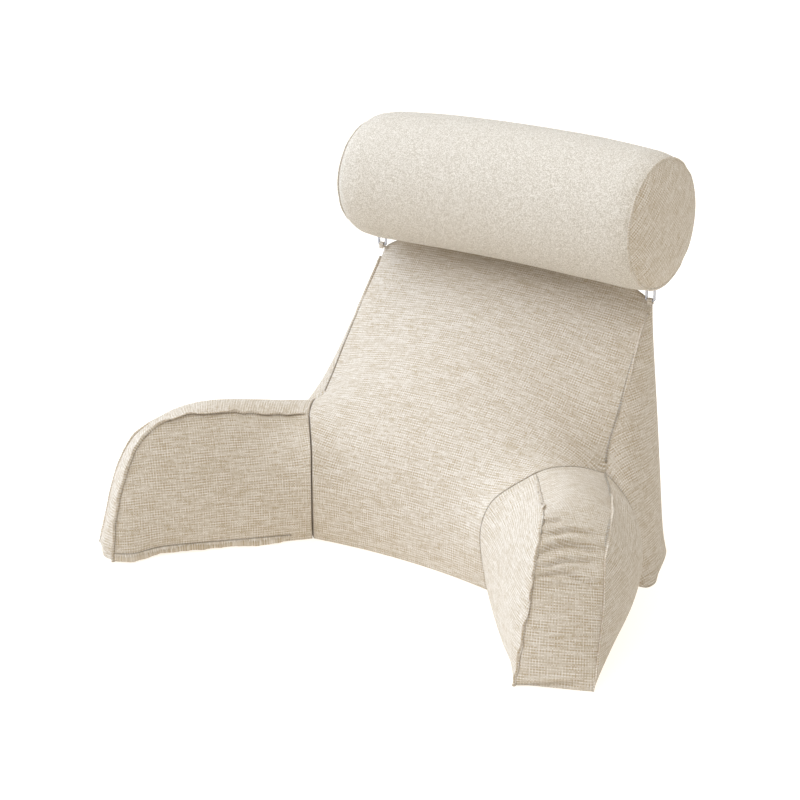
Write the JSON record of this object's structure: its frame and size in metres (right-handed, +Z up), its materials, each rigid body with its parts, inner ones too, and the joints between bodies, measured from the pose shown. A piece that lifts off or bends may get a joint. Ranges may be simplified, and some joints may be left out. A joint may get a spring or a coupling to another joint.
{
  "type": "backrest pillow",
  "caption": "Stuffed reading backrest: a leaning wedge with two splayed arms, stitched flanged seams and a neck roll clipped on its top.",
  "frame": {"origin": "under the middle of the part, on the surface that it rests on", "axes": "+Z is up, +X runs along the width and the neck roll, -Y is the front, where the arms reach"},
  "size_m": [0.7976, 0.5635, 0.5471],
  "materials": {
    "cover_cloth": "coarse plain weave of cream and tan slub yarns",
    "roll_cloth": "finer plain weave of cream and beige yarns",
    "clip_plastic": "clear moulded plastic, slightly milky"
  },
  "bodies": {
    "root": {"backrest": "cover_cloth", "arm_left": "cover_cloth", "arm_right": "cover_cloth", "tab_left": "cover_cloth", "tab_right": "cover_cloth", "bolster": "roll_cloth", "clip_left": "clip_plastic", "clip_right": "clip_plastic"}
  },
  "joints": []
}
